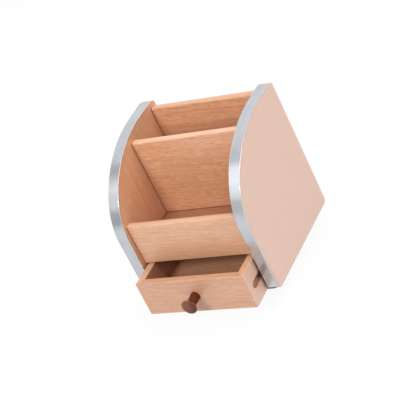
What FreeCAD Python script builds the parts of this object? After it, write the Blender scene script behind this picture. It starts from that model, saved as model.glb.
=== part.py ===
import FreeCAD, Part
import math
import os

# Desk organizer with a drawer, on a swivel base.
# Frame: millimetres, +Z up, front towards -Y, right-hand panel towards +X.
# Origin: on the swivel axis, on the surface that the base stands on.

# ---------------------------------------------------------------- driving sizes

# Swivel base, from the desk upwards
base_radius = 56.0
base_disc_thickness = 7.5
base_edge_chamfer = 1.0
pad_thickness = 1.5
pad_edge_inset = 4.0

# Ball bearing between the base disc and the bottom board
race_radius = 44.0
race_thickness = 1.0
race_gap = 2.0
ball_diameter = 3.0
ball_circle_radius = 37.5
ball_count = 12
ball_clearance = 0.05
cage_width = 6.5
cage_thickness = 0.8
cage_hole_clearance = 0.1
rivet_radius = 4.0
rivet_bore_radius = 2.6
rivet_flange_radius = 6.0
rivet_flange_thickness = 0.6
rivet_play = 0.08
rivet_room = 1.0
lower_screw_circle_radius = 16.0
upper_screw_circle_radius = 27.0
access_hole_radius = 3.5

# Bottom board, set in from the edges of the body
bottom_board_thickness = 4.0
bottom_board_side_inset = 5.0
bottom_board_end_inset = 8.0
bottom_board_corner_radius = 8.0

# Side panels and their edge strips
body_width = 160.0
panel_thickness = 13.0
panel_depth = 144.5
panel_height = 158.0
front_curve_depth = 107.0
front_curve_height = 80.0
panel_corner_radius = 4.5
panel_foot_radius = 5.5
strip_thickness = 1.5
strip_edge_radius = 0.5
strip_rear_setback = 7.0
strip_foot_height = 4.5

# Cross boards
board_thickness = 8.0
board_edge_radius = 2.2
fascia_edge_radius = 3.0
board_end_ease = 0.5
back_panel_setback = 4.0
back_panel_height = 153.0
divider_setback = 61.0
divider_height = 148.5
fascia_setback = 131.5
fascia_foot_height = 44.0
fascia_top_height = 93.0
floor_height = 56.0
floor_thickness = 8.0

# Dowels between the cross boards and the side panels
dowel_diameter = 4.0
dowel_length = 20.0
dowel_depth_in_panel = 8.0
dowel_end_distance = 14.0
dowel_clearance = 0.05

# Drawer, and how far it stands open
drawer_height = 41.4
drawer_length = 122.0
drawer_wall = 8.1
drawer_side_gap = 2.1
drawer_foot_gap = 0.8
drawer_edge_radius = 0.8
drawer_rest_opening = 32.7
drawer_bottom_thickness = 4.0
drawer_bottom_height = 8.6
drawer_bottom_groove_depth = 4.0
drawer_bottom_clearance = 0.15

# Runner battens and the stopped grooves that slide on them
groove_height_on_panel = 20.5
groove_width = 9.0
groove_depth = 5.0
groove_front_setback = 8.7
runner_play = 0.3
runner_tip_play = 0.6
runner_rear_setback = 16.0

# Knob
knob_stem_radius = 5.4
knob_waist_radius = 4.9
knob_head_radius = 8.7
knob_projection = 19.4
knob_dome_height = 1.3
knob_rim_thickness = 1.5
knob_neck_height = 1.2

# Fasteners
wood_screw_diameter = 3.0
wood_screw_head_diameter = 5.6
wood_screw_head_height = 1.7
bottom_screw_length = 18.0
runner_screw_diameter = 2.5
runner_screw_head_diameter = 4.8
runner_screw_head_height = 1.5
runner_screw_length = 13.0
race_screw_diameter = 2.2
race_screw_head_diameter = 4.2
race_screw_head_height = 1.1
base_screw_length = 6.5
upper_screw_length = 4.6
knob_screw_diameter = 3.0
knob_screw_head_diameter = 6.4
knob_screw_head_height = 1.8
knob_screw_length = 16.0
pin_diameter = 1.2
pin_length = 18.0
screw_clearance = 0.05

# ---------------------------------------------------------------- derived places

V = FreeCAD.Vector
UP = V(0, 0, 1)
DOWN = V(0, 0, -1)
FORWARD = V(0, -1, 0)
BACKWARD = V(0, 1, 0)
SIDES = {"left": -1, "right": 1}

disc_low = pad_thickness
disc_top = disc_low + base_disc_thickness
ball_level = disc_top + race_thickness + race_gap / 2
upper_race_low = disc_top + race_thickness + race_gap
upper_race_top = upper_race_low + race_thickness
body_low = upper_race_top + bottom_board_thickness

body_depth = panel_depth + strip_thickness
rear_y = body_depth / 2
panel_front_y = rear_y - panel_depth
half_width = body_width / 2
inner_x = half_width - panel_thickness
panel_centre_x = half_width - panel_thickness / 2

back_front_y = rear_y - back_panel_setback - board_thickness
divider_rear_y = rear_y - divider_setback
fascia_rear_y = rear_y - fascia_setback
fascia_front_y = fascia_rear_y - board_thickness

drawer_front_y = fascia_front_y - drawer_rest_opening
drawer_rear_y = drawer_front_y + drawer_length
drawer_half_width = inner_x - drawer_side_gap
drawer_inner_x = drawer_half_width - drawer_wall
drawer_low = body_low + drawer_foot_gap
drawer_top = drawer_low + drawer_height
drawer_bottom_low = body_low + drawer_bottom_height
groove_level = body_low + groove_height_on_panel
groove_front_y = drawer_front_y + groove_front_setback

runner_height = groove_width - 2 * runner_play
runner_thickness = drawer_side_gap + groove_depth - runner_tip_play
runner_front_y = groove_front_y + drawer_rest_opening + runner_play
runner_rear_y = rear_y - runner_rear_setback


# ---------------------------------------------------------------- helpers

def block(x_range, y_range, z_range):
    """Box between the low and high value of each range."""
    size = [high - low for low, high in (x_range, y_range, z_range)]
    return Part.makeBox(*size, V(x_range[0], y_range[0], z_range[0]))


def soften(shape, radius, wanted):
    """Fillet the edges of a shape for which wanted(edge) is true."""
    return shape.makeFillet(radius, [edge for edge in shape.Edges if wanted(edge)])


def chamfer(shape, width, wanted):
    """Chamfer the edges of a shape for which wanted(edge) is true."""
    return shape.makeChamfer(width, [edge for edge in shape.Edges if wanted(edge)])


def along_x(edge):
    """True for a straight edge parallel to the X axis."""
    start, end = (vertex.Point for vertex in edge.Vertexes)
    return abs(start.y - end.y) < 1e-6 and abs(start.z - end.z) < 1e-6


def turned(profile):
    """Solid made by turning a closed list of (radius, height) points about Z."""
    outline = [V(radius, 0, height) for radius, height in profile]
    face = Part.Face(Part.makePolygon(outline + outline[:1]))
    return face.revolve(V(0, 0, 0), UP, 360)


def aimed(shape, position, direction):
    """Turn a shape drawn on +Z to point along direction, and move it to position."""
    shape.Placement = FreeCAD.Placement(position, FreeCAD.Rotation(UP, direction))
    return shape


def countersunk_screw(diameter, length, head_diameter, head_height, clearance=0.0):
    """Screw on +Z with its flat head at z = 0 and a pointed tip; with clearance, its hole."""
    radius = diameter / 2 + clearance
    tip = length - diameter
    return turned([
        (0, -clearance),
        (head_diameter / 2 + clearance, -clearance),
        (head_diameter / 2 + clearance, 0),
        (radius, head_height),
        (radius, tip),
        (0, length + clearance),
    ])


def pan_screw(diameter, length, head_diameter, head_height, clearance=0.0):
    """Screw on +Z with the underside of its pan head at z = 0; with clearance, its hole."""
    radius = diameter / 2 + clearance
    head = head_diameter / 2
    return turned([
        (0, -head_height),
        (head * 0.7, -head_height),
        (head, -head_height * 0.5),
        (head, 0),
        (radius, 0),
        (radius, length - diameter / 2),
        (0, length + clearance),
    ])


def ring_places(radius, count, height, first_angle=0.0):
    """Evenly spaced points on a level circle about the swivel axis."""
    angles = [first_angle + 2 * math.pi * step / count for step in range(count)]
    return [V(radius * math.cos(angle), radius * math.sin(angle), height) for angle in angles]


def cut_all(shape, tools):
    """Shape less every tool."""
    return shape.cut(Part.Compound(tools)) if tools else shape


# ---------------------------------------------------------------- swivel base

def base_screws(clearance=0.0):
    """Pan head screws down through the lower race into the base disc."""
    places = ring_places(lower_screw_circle_radius, 4, disc_top + race_thickness)
    return [aimed(pan_screw(race_screw_diameter, base_screw_length, race_screw_head_diameter,
                            race_screw_head_height, clearance), place, DOWN)
            for place in places]


def race_screws(clearance=0.0):
    """Pan head screws up through the upper race into the bottom board."""
    places = ring_places(upper_screw_circle_radius, 4, upper_race_low, math.pi / 4)
    return [aimed(pan_screw(race_screw_diameter, upper_screw_length, race_screw_head_diameter,
                            race_screw_head_height, clearance), place, UP)
            for place in places]


def base_pad():
    """Anti-slip disc under the base; its underside is what the organizer stands on."""
    return Part.makeCylinder(base_radius - pad_edge_inset, pad_thickness)


def base_disc():
    """Round board with chamfered rims, bored for the rivet and the access hole."""
    disc = Part.makeCylinder(base_radius, base_disc_thickness, V(0, 0, disc_low))
    disc = chamfer(disc, base_edge_chamfer, lambda edge: len(edge.Vertexes) == 1)
    bore = Part.makeCylinder(rivet_flange_radius + rivet_room, base_disc_thickness, V(0, 0, disc_low))
    return cut_all(disc, [bore, access_hole()] + base_screws(screw_clearance))


def access_hole():
    """Way for a driver to reach one screw of the upper race at a time."""
    place = ring_places(upper_screw_circle_radius, 1, disc_low)[0]
    return Part.makeCylinder(access_hole_radius, base_disc_thickness + race_thickness, place)


def ball_track():
    """Eight-sided ring of room round the balls, which leaves a flat-bottomed track in each race."""
    corner_reach = (ball_diameter / 2 + ball_clearance) / math.cos(math.pi / 8)
    angles = [math.pi / 8 + math.pi / 4 * step for step in range(8)]
    return turned([(ball_circle_radius + corner_reach * math.cos(angle),
                    ball_level + corner_reach * math.sin(angle)) for angle in angles])


def lower_race():
    """Fixed steel plate of the bearing."""
    plate = Part.makeCylinder(race_radius, race_thickness, V(0, 0, disc_top))
    bore = Part.makeCylinder(rivet_radius + screw_clearance, race_thickness, V(0, 0, disc_top))
    return cut_all(plate, [bore, ball_track(), access_hole()] + base_screws(screw_clearance))


def upper_race():
    """Turning steel plate of the bearing, running on the rivet."""
    plate = Part.makeCylinder(race_radius, race_thickness, V(0, 0, upper_race_low))
    bore = Part.makeCylinder(rivet_radius + rivet_play, race_thickness, V(0, 0, upper_race_low))
    return cut_all(plate, [bore, ball_track()] + race_screws(screw_clearance))


def centre_rivet():
    """Hollow rivet, flanged at both ends, that holds the two races together."""
    foot = disc_top - rivet_flange_thickness
    head = upper_race_top + rivet_play
    top = head + rivet_flange_thickness
    return turned([
        (rivet_bore_radius, foot),
        (rivet_flange_radius, foot),
        (rivet_flange_radius, disc_top),
        (rivet_radius, disc_top),
        (rivet_radius, head),
        (rivet_flange_radius, head),
        (rivet_flange_radius, top),
        (rivet_bore_radius, top),
    ])


def bearing_balls(clearance=0.0):
    """Steel balls, evenly spaced; with clearance, the pockets of the cage."""
    radius = ball_diameter / 2 + clearance
    return [Part.makeSphere(radius, place)
            for place in ring_places(ball_circle_radius, ball_count, ball_level)]


def ball_cage():
    """Flat ring that keeps the balls apart."""
    low = ball_level - cage_thickness / 2
    ring = Part.makeCylinder(ball_circle_radius + cage_width / 2, cage_thickness, V(0, 0, low))
    inside = Part.makeCylinder(ball_circle_radius - cage_width / 2, cage_thickness, V(0, 0, low))
    pockets = [Part.makeCylinder(ball_diameter / 2 + cage_hole_clearance, cage_thickness,
                                 V(place.x, place.y, low))
               for place in ring_places(ball_circle_radius, ball_count, low)]
    return cut_all(ring, [inside] + pockets)


# ---------------------------------------------------------------- body

def bottom_board_ranges():
    """Extent of the bottom board, set in under the body."""
    reach = half_width - bottom_board_side_inset
    front = -body_depth / 2 + bottom_board_end_inset
    rear = rear_y - bottom_board_side_inset
    return (-reach, reach), (front, rear), (upper_race_top, body_low)


def bottom_screws(clearance=0.0):
    """Countersunk screws up through the bottom board into the panels and the back."""
    x_range, y_range, z_range = bottom_board_ranges()
    edge_distance = wood_screw_head_diameter / 2 + 1.0
    side_x = min(panel_centre_x, x_range[1] - edge_distance)
    end_distance = bottom_board_corner_radius + wood_screw_head_diameter
    places = [(side * side_x, y) for side in SIDES.values()
              for y in (y_range[0] + end_distance, y_range[1] - end_distance)]
    back_y = back_front_y + board_thickness / 2
    places += [(side * inner_x / 2, back_y) for side in SIDES.values()]
    return [aimed(countersunk_screw(wood_screw_diameter, bottom_screw_length, wood_screw_head_diameter,
                                    wood_screw_head_height, clearance), V(x, y, z_range[0]), UP)
            for x, y in places]


def bottom_board():
    """Thin board that the panels stand on and the upper race is screwed to."""
    board = block(*bottom_board_ranges())
    board = soften(board, bottom_board_corner_radius, lambda edge: abs(edge.tangentAt(0).z) > 0.9)
    bore = Part.makeCylinder(rivet_flange_radius + rivet_room, bottom_board_thickness,
                             V(0, 0, upper_race_top))
    return cut_all(board, [bore] + race_screws(screw_clearance) + bottom_screws(screw_clearance))


def quarter_ellipse(rear_end, corner, front_end):
    """Exact quarter of an ellipse that leaves one leg of a square corner and meets the other."""
    curve = Part.BezierCurve()
    curve.setPoles([rear_end, corner, front_end])
    curve.setWeight(2, math.sqrt(0.5))
    return curve.toShape()


def front_curve(offset):
    """Elliptical front top corner at x = 0, offset outwards from the wood."""
    top = body_low + panel_height
    front = panel_front_y
    return quarter_ellipse(V(0, front + front_curve_depth, top + offset),
                           V(0, front - offset, top + offset),
                           V(0, front - offset, top - front_curve_height))


def rounded_corner(centre, radius, start_angle):
    """Quarter circle in the YZ plane from start_angle, anticlockwise seen from +X."""
    def point(degrees):
        angle = math.radians(degrees)
        return centre + V(0, math.cos(angle), math.sin(angle)) * radius
    return Part.Arc(point(start_angle), point(start_angle + 45), point(start_angle + 90)).toShape()


def panel_outline():
    """Side panel seen from the side: three small round corners and the large front curve."""
    top = body_low + panel_height
    curve = front_curve(0)
    curve_rear, curve_front = (vertex.Point for vertex in curve.Vertexes)
    rear_top = V(0, rear_y - panel_corner_radius, top - panel_corner_radius)
    front_foot = V(0, panel_front_y + panel_foot_radius, body_low + panel_foot_radius)
    rear_foot = V(0, rear_y - panel_foot_radius, body_low + panel_foot_radius)
    edges = [
        Part.makeLine(V(0, rear_y, rear_foot.z), V(0, rear_y, rear_top.z)),
        rounded_corner(rear_top, panel_corner_radius, 0),
        Part.makeLine(V(0, rear_top.y, top), curve_rear),
        curve,
        Part.makeLine(curve_front, V(0, panel_front_y, front_foot.z)),
        rounded_corner(front_foot, panel_foot_radius, 180),
        Part.makeLine(V(0, front_foot.y, body_low), V(0, rear_foot.y, body_low)),
        rounded_corner(rear_foot, panel_foot_radius, 270),
    ]
    return Part.Face(Part.Wire(Part.__sortEdges__(edges)))


def strip_outline():
    """Edge strip seen from the side: a band outside the panel, from its rear top to its foot."""
    top = body_low + panel_height
    foot = body_low + strip_foot_height
    rear = rear_y - strip_rear_setback
    inner, outer = front_curve(0), front_curve(strip_thickness)
    inner_rear, inner_front = (vertex.Point for vertex in inner.Vertexes)
    outer_rear, outer_front = (vertex.Point for vertex in outer.Vertexes)
    rear_inner = V(0, rear, top)
    rear_outer = V(0, rear, top + strip_thickness)
    foot_inner = V(0, panel_front_y, foot)
    foot_outer = V(0, panel_front_y - strip_thickness, foot)
    edges = [
        Part.makeLine(rear_inner, inner_rear), inner, Part.makeLine(inner_front, foot_inner),
        Part.makeLine(foot_inner, foot_outer),
        Part.makeLine(foot_outer, outer_front), outer, Part.makeLine(outer_rear, rear_outer),
        Part.makeLine(rear_outer, rear_inner),
    ]
    return Part.Face(Part.Wire(Part.__sortEdges__(edges)))


def panel_x_start(side):
    """Lower x of the side panel on the given side."""
    return inner_x if side > 0 else -half_width


def side_panel(side):
    """Wooden side with its dowel, runner screw and bottom screw holes."""
    panel = panel_outline().extrude(V(panel_thickness, 0, 0))
    panel.translate(V(panel_x_start(side), 0, 0))
    holes = [dowel for places in DOWEL_PLACES.values() for dowel in dowels(places, dowel_clearance)]
    holes += runner_screws(screw_clearance) + bottom_screws(screw_clearance)
    return cut_all(panel, holes)


def edge_strip(side):
    """Aluminium strip as wide as the panel is thick, with its outer edges broken."""
    strip = strip_outline().extrude(V(panel_thickness, 0, 0))
    outer = [edge for edge in strip.Edges if is_outer_long_edge(edge)]
    strip = strip.makeFillet(strip_edge_radius, outer)
    strip.translate(V(panel_x_start(side), 0, 0))
    return strip


def is_outer_long_edge(edge):
    """True for the edges of a strip that run round its outer face, at x = 0 or its full width."""
    start, end = (vertex.Point for vertex in edge.Vertexes)
    if abs(start.x - end.x) > 1e-6:
        return False
    outer_top = body_low + panel_height + strip_thickness
    outer_front = panel_front_y - strip_thickness
    return all(abs(point.z - outer_top) < 1e-6 or abs(point.y - outer_front) < 1e-6
               for point in (start, end)) and edge.Length > 2 * strip_thickness


def cross_board(y_range, z_range, radius, dowel_places):
    """Board from panel to panel: rounded top edges, eased foot and ends, dowel holes in its ends."""
    board = block((-inner_x, inner_x), y_range, z_range)
    middle = (z_range[0] + z_range[1]) / 2
    limit = 0.45 * (y_range[1] - y_range[0])
    board = soften(board, min(radius, limit),
                   lambda edge: along_x(edge) and edge.CenterOfMass.z > middle)
    board = chamfer(board, board_end_ease,
                    lambda edge: along_x(edge) and abs(edge.CenterOfMass.z - z_range[0]) < 1e-6)
    board = chamfer(board, board_end_ease, on_board_end)
    return cut_all(board, dowels(dowel_places, dowel_clearance))


def on_board_end(edge):
    """True for the edges round the two end faces of a cross board."""
    return not along_x(edge) and all(abs(abs(vertex.Point.x) - inner_x) < 1e-6
                                     for vertex in edge.Vertexes)


def dowels(places, clearance=0.0):
    """Dowels along X at both ends of a board, at the given (y, z); with clearance, their holes."""
    radius = dowel_diameter / 2 + clearance
    length = dowel_length + 2 * clearance
    reach = inner_x + dowel_depth_in_panel + clearance
    starts = (reach - length, -reach)
    return [Part.makeCylinder(radius, length, V(x, y, z), V(1, 0, 0))
            for y, z in places for x in starts]


def upright_places(rear_face_y, low, high):
    """Two dowel places in the end of an upright board."""
    y = rear_face_y - board_thickness / 2
    inset = min(dowel_end_distance, (high - low) / 3)
    return [(y, body_low + low + inset), (y, body_low + high - inset)]


DOWEL_PLACES = {
    "back_panel": upright_places(rear_y - back_panel_setback, 0, back_panel_height),
    "divider": upright_places(divider_rear_y, floor_height, divider_height),
    "fascia": upright_places(fascia_rear_y, fascia_foot_height, fascia_top_height),
    "floor": [(y, body_low + floor_height - floor_thickness / 2)
              for y in (back_front_y - dowel_end_distance, fascia_rear_y + dowel_end_distance)],
}


def back_panel():
    """Tallest cross board, at the rear."""
    board = cross_board((back_front_y, back_front_y + board_thickness),
                        (body_low, body_low + back_panel_height),
                        board_edge_radius, DOWEL_PLACES["back_panel"])
    return cut_all(board, bottom_screws(screw_clearance))


def middle_divider():
    """Cross board between the two compartments, standing on their floor."""
    return cross_board((divider_rear_y - board_thickness, divider_rear_y),
                       (body_low + floor_height, body_low + divider_height),
                       board_edge_radius, DOWEL_PLACES["divider"])


def front_fascia():
    """Low front board, which hides the edge of the floor and hangs down to the drawer."""
    return cross_board((fascia_front_y, fascia_rear_y),
                       (body_low + fascia_foot_height, body_low + fascia_top_height),
                       fascia_edge_radius, DOWEL_PLACES["fascia"])


def compartment_floor():
    """Level board under both compartments, between the back panel and the fascia."""
    board = block((-inner_x, inner_x), (fascia_rear_y, back_front_y),
                  (body_low + floor_height - floor_thickness, body_low + floor_height))
    return cut_all(board, dowels(DOWEL_PLACES["floor"], dowel_clearance))


# ---------------------------------------------------------------- drawer runners

def runner_screws(clearance=0.0):
    """Two countersunk screws through each runner into its panel."""
    inset = runner_height * 1.5
    head_x = inner_x - runner_thickness
    return [aimed(countersunk_screw(runner_screw_diameter, runner_screw_length,
                                    runner_screw_head_diameter, runner_screw_head_height, clearance),
                  V(side * head_x, y, groove_level), V(side, 0, 0))
            for side in SIDES.values()
            for y in (runner_front_y + inset, runner_rear_y - inset)]


def drawer_runner(side):
    """Batten on the inside of a panel, rounded in front like the end of its groove."""
    radius = runner_height / 2
    x_low = inner_x - runner_thickness if side > 0 else -inner_x
    batten = block((x_low, x_low + runner_thickness), (runner_front_y + radius, runner_rear_y),
                   (groove_level - radius, groove_level + radius))
    nose = Part.makeCylinder(radius, runner_thickness,
                             V(x_low, runner_front_y + radius, groove_level), V(1, 0, 0))
    return cut_all(batten.fuse(nose).removeSplitter(), runner_screws(screw_clearance))


# ---------------------------------------------------------------- drawer

def drawer_shell():
    """The four walls of the drawer in one piece, before they are parted at the joints."""
    outside = block((-drawer_half_width, drawer_half_width), (drawer_front_y, drawer_rear_y),
                    (drawer_low, drawer_top))
    inside = block((-drawer_inner_x, drawer_inner_x),
                   (drawer_front_y + drawer_wall, drawer_rear_y - drawer_wall),
                   (drawer_low, drawer_top))
    shell = soften(outside.cut(inside), drawer_edge_radius, is_softened_drawer_edge)
    return cut_all(shell, [bottom_panel(drawer_bottom_clearance)] + runner_grooves())


def is_softened_drawer_edge(edge):
    """True for the top edges, the foot of the front and the upright front corners."""
    centre = edge.CenterOfMass
    on_top = abs(centre.z - drawer_top) < 1e-6
    on_front = abs(centre.y - drawer_front_y) < 1e-6
    return on_top or on_front


def runner_grooves():
    """Room for the runners: stopped and rounded in front, open at the rear."""
    radius = groove_width / 2
    grooves = []
    for side in SIDES.values():
        x_low = drawer_half_width - groove_depth if side > 0 else -drawer_half_width
        slot = block((x_low, x_low + groove_depth), (groove_front_y + radius, drawer_rear_y),
                     (groove_level - radius, groove_level + radius))
        end = Part.makeCylinder(radius, groove_depth,
                                V(x_low, groove_front_y + radius, groove_level), V(1, 0, 0))
        grooves.append(slot.fuse(end))
    return grooves


def bottom_panel(clearance=0.0):
    """Panel let into grooves round the inside of the drawer; with clearance, the grooves."""
    reach = drawer_bottom_groove_depth - drawer_bottom_clearance + clearance
    half = drawer_inner_x + reach
    return block((-half, half),
                 (drawer_front_y + drawer_wall - reach, drawer_rear_y - drawer_wall + reach),
                 (drawer_bottom_low - clearance, drawer_bottom_low + drawer_bottom_thickness + clearance))


def upright_prism(corners):
    """Prism of the drawer's height over a list of (x, y) corners."""
    outline = [V(x, y, drawer_low) for x, y in corners]
    return Part.Face(Part.makePolygon(outline + outline[:1])).extrude(V(0, 0, drawer_height))


def drawer_front():
    """Front wall, mitred at both ends, bored for the knob screw."""
    region = upright_prism([
        (-drawer_half_width, drawer_front_y), (drawer_half_width, drawer_front_y),
        (drawer_inner_x, drawer_front_y + drawer_wall), (-drawer_inner_x, drawer_front_y + drawer_wall),
    ])
    return drawer_shell().common(region).cut(knob_screw(screw_clearance))


def drawer_side(side):
    """Side wall: mitred in front, square at the rear, with the runner groove outside."""
    region = upright_prism([
        (side * drawer_half_width, drawer_front_y), (side * drawer_half_width, drawer_rear_y),
        (side * drawer_inner_x, drawer_rear_y), (side * drawer_inner_x, drawer_front_y + drawer_wall),
    ])
    return cut_all(drawer_shell().common(region), drawer_pins(screw_clearance))


def drawer_back():
    """Rear wall between the sides."""
    region = upright_prism([
        (-drawer_inner_x, drawer_rear_y - drawer_wall), (drawer_inner_x, drawer_rear_y - drawer_wall),
        (drawer_inner_x, drawer_rear_y), (-drawer_inner_x, drawer_rear_y),
    ])
    return cut_all(drawer_shell().common(region), drawer_pins(screw_clearance))


def drawer_pins(clearance=0.0):
    """Brads through the sides into the ends of the back, above and below the grooves."""
    radius = pin_diameter / 2 + clearance
    length = pin_length + 2 * clearance
    reach = drawer_half_width + clearance
    above = (groove_level + groove_width / 2 + drawer_top) / 2
    below = (drawer_low + drawer_bottom_low) / 2
    y = drawer_rear_y - drawer_wall / 2
    return [Part.makeCylinder(radius, length, V(x, y, z), V(1, 0, 0))
            for z in (above, below) for x in (-reach, reach - length)]


def knob_place():
    """Centre of the drawer front, where the knob stands."""
    return V(0, drawer_front_y, drawer_low + drawer_height / 2)


def knob():
    """Turned wooden knob: slightly waisted stem, thin rim and domed face."""
    rim_low = knob_projection - knob_dome_height - knob_rim_thickness
    rim_high = knob_projection - knob_dome_height
    stem_top = rim_low - knob_neck_height
    stem = Part.Arc(V(knob_stem_radius, 0, 0), V(knob_waist_radius, 0, stem_top * 0.6),
                    V(knob_waist_radius, 0, stem_top)).toShape()
    rim_bulge = knob_rim_thickness * 0.2
    rim = Part.Arc(V(knob_head_radius - rim_bulge, 0, rim_low),
                   V(knob_head_radius, 0, (rim_low + rim_high) / 2),
                   V(knob_head_radius - rim_bulge, 0, rim_high)).toShape()
    dome_reach = knob_head_radius - rim_bulge
    dome_radius = (dome_reach ** 2 + knob_dome_height ** 2) / (2 * knob_dome_height)
    dome_half = V(dome_reach / 2, 0,
                  knob_projection - dome_radius + math.sqrt(dome_radius ** 2 - dome_reach ** 2 / 4))
    dome = Part.Arc(V(dome_reach, 0, rim_high), dome_half, V(0, 0, knob_projection)).toShape()
    edges = [
        Part.makeLine(V(0, 0, 0), V(knob_stem_radius, 0, 0)), stem,
        Part.makeLine(V(knob_waist_radius, 0, stem_top), V(knob_head_radius - rim_bulge, 0, rim_low)),
        rim, dome, Part.makeLine(V(0, 0, knob_projection), V(0, 0, 0)),
    ]
    solid = Part.Face(Part.Wire(edges)).revolve(V(0, 0, 0), UP, 360)
    return aimed(solid, knob_place(), FORWARD).cut(knob_screw(screw_clearance))


def knob_screw(clearance=0.0):
    """Pan head screw from inside the drawer, through its front, into the knob."""
    screw = pan_screw(knob_screw_diameter, knob_screw_length, knob_screw_head_diameter,
                      knob_screw_head_height, clearance)
    return aimed(screw, knob_place() + BACKWARD * drawer_wall, FORWARD)


# ---------------------------------------------------------------- nodes

nodes = {
    "base_pad": base_pad(),
    "base_disc": base_disc(),
    "base_screws": Part.Compound(base_screws()),
    "lower_race": lower_race(),
    "centre_rivet": centre_rivet(),
    "ball_cage": ball_cage(),
    "bearing_balls": Part.Compound(bearing_balls()),
    "upper_race": upper_race(),
    "race_screws": Part.Compound(race_screws()),
    "bottom_board": bottom_board(),
    "bottom_screws": Part.Compound(bottom_screws()),
    "back_panel": back_panel(),
    "middle_divider": middle_divider(),
    "front_fascia": front_fascia(),
    "compartment_floor": compartment_floor(),
    "runner_screws": Part.Compound(runner_screws()),
    "drawer_front": drawer_front(),
    "drawer_back": drawer_back(),
    "drawer_bottom": bottom_panel(),
    "drawer_pins": Part.Compound(drawer_pins()),
    "knob": knob(),
    "knob_screw": knob_screw(),
}
for side_name, side in SIDES.items():
    nodes[f"side_panel_{side_name}"] = side_panel(side)
    nodes[f"edge_strip_{side_name}"] = edge_strip(side)
    nodes[f"drawer_runner_{side_name}"] = drawer_runner(side)
    nodes[f"drawer_side_{side_name}"] = drawer_side(side)
for board_name, places in DOWEL_PLACES.items():
    nodes[f"{board_name}_dowels"] = Part.Compound(dowels(places))

os.makedirs("parts", exist_ok=True)
for name, shape in nodes.items():
    shape.exportStep(f"parts/{name}.step")
    print(name, len(shape.Solids), round(shape.Volume, 1), shape.isValid())
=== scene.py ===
"""Looks of a wooden desk organizer: finishes of its boards; turned, bent and repeated pieces.

Units are metres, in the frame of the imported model: +Z up, the drawer opens towards -Y.
"""

import logging
import math
from dataclasses import dataclass
from enum import Enum
from typing import Any, Sequence

import bmesh
import bpy
from bpy.types import ID, Curve, Material, Mesh, Node, NodeSocket, NodeTree, Object
from mathutils import Matrix, Quaternion, Vector


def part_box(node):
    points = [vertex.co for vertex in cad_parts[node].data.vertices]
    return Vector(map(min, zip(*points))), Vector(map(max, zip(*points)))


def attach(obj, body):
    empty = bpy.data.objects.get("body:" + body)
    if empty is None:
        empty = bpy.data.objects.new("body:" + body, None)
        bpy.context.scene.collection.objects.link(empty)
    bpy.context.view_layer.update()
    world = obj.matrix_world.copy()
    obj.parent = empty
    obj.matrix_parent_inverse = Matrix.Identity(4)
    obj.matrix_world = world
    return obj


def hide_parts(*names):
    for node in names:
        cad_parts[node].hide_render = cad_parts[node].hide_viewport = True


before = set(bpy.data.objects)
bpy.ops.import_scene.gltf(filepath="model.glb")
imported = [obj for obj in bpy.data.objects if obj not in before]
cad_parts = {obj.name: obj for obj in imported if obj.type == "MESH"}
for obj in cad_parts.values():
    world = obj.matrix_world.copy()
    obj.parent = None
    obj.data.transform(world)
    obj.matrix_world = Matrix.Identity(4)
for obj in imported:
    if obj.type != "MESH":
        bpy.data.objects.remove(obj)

LOG = logging.getLogger("desk_organizer")
MM = 0.001
SIDES = ("left", "right")

Triple = tuple[float, float, float]
Colour = Waves = Triple
Point = tuple[float, float]
Settings = dict[str, Any] | None


def srgb(red: int, green: int, blue: int) -> Colour:
    """Turn a colour as a screen shows it, 0 to 255, into the linear values of a shader.

    Args:
        red, green, blue: The colour's parts, from 0 to 255.

    Returns:
        The same colour as linear values from 0 to 1.
    """
    def linear(part: int) -> float:
        """Undo the screen's curve for one part."""
        value = part / 255
        return value / 12.92 if value <= 0.04045 else ((value + 0.055) / 1.055) ** 2.4
    return linear(red), linear(green), linear(blue)


# ---- node graphs

class Signal:
    """A number socket that takes part in Python arithmetic; each operation adds a Math node."""

    def __init__(self, graph: "Wiring", socket: NodeSocket) -> None:
        """Wrap one output socket of a graph."""
        self.graph = graph
        self.socket = socket

    def _math(self, operation: str, *values: "Signal | float") -> "Signal":
        """Add a Math node over some values and return its output."""
        node = self.graph.node("ShaderNodeMath", {"operation": operation}, dict(enumerate(values)))
        return Signal(self.graph, node.outputs[0])

    def __add__(self, other: "Signal | float") -> "Signal":
        """Sum."""
        return self._math("ADD", self, other)

    __radd__ = __add__

    def __sub__(self, other: "Signal | float") -> "Signal":
        """Difference."""
        return self._math("SUBTRACT", self, other)

    def __rsub__(self, other: "Signal | float") -> "Signal":
        """Difference from a number."""
        return self._math("SUBTRACT", other, self)

    def __mul__(self, other: "Signal | float") -> "Signal":
        """Product."""
        return self._math("MULTIPLY", self, other)

    __rmul__ = __mul__

    def __abs__(self) -> "Signal":
        """Distance from zero."""
        return self._math("ABSOLUTE", self)

    def at_least(self, other: "Signal | float") -> "Signal":
        """The larger of two values."""
        return self._math("MAXIMUM", self, other)

    def between(self, low: float, high: float) -> "Signal":
        """Change smoothly from 0 at low to 1 at high, which may be the lesser of the two.

        Args:
            low: Value at and before which the result is 0.
            high: Value at and past which the result is 1.

        Returns:
            The eased value.
        """
        if low > high:
            return 1 - self.between(high, low)
        node = self.graph.node("ShaderNodeMapRange", {"interpolation_type": "SMOOTHSTEP"},
                               {"Value": self, "From Min": low, "From Max": high})
        return Signal(self.graph, node.outputs["Result"])


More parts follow.
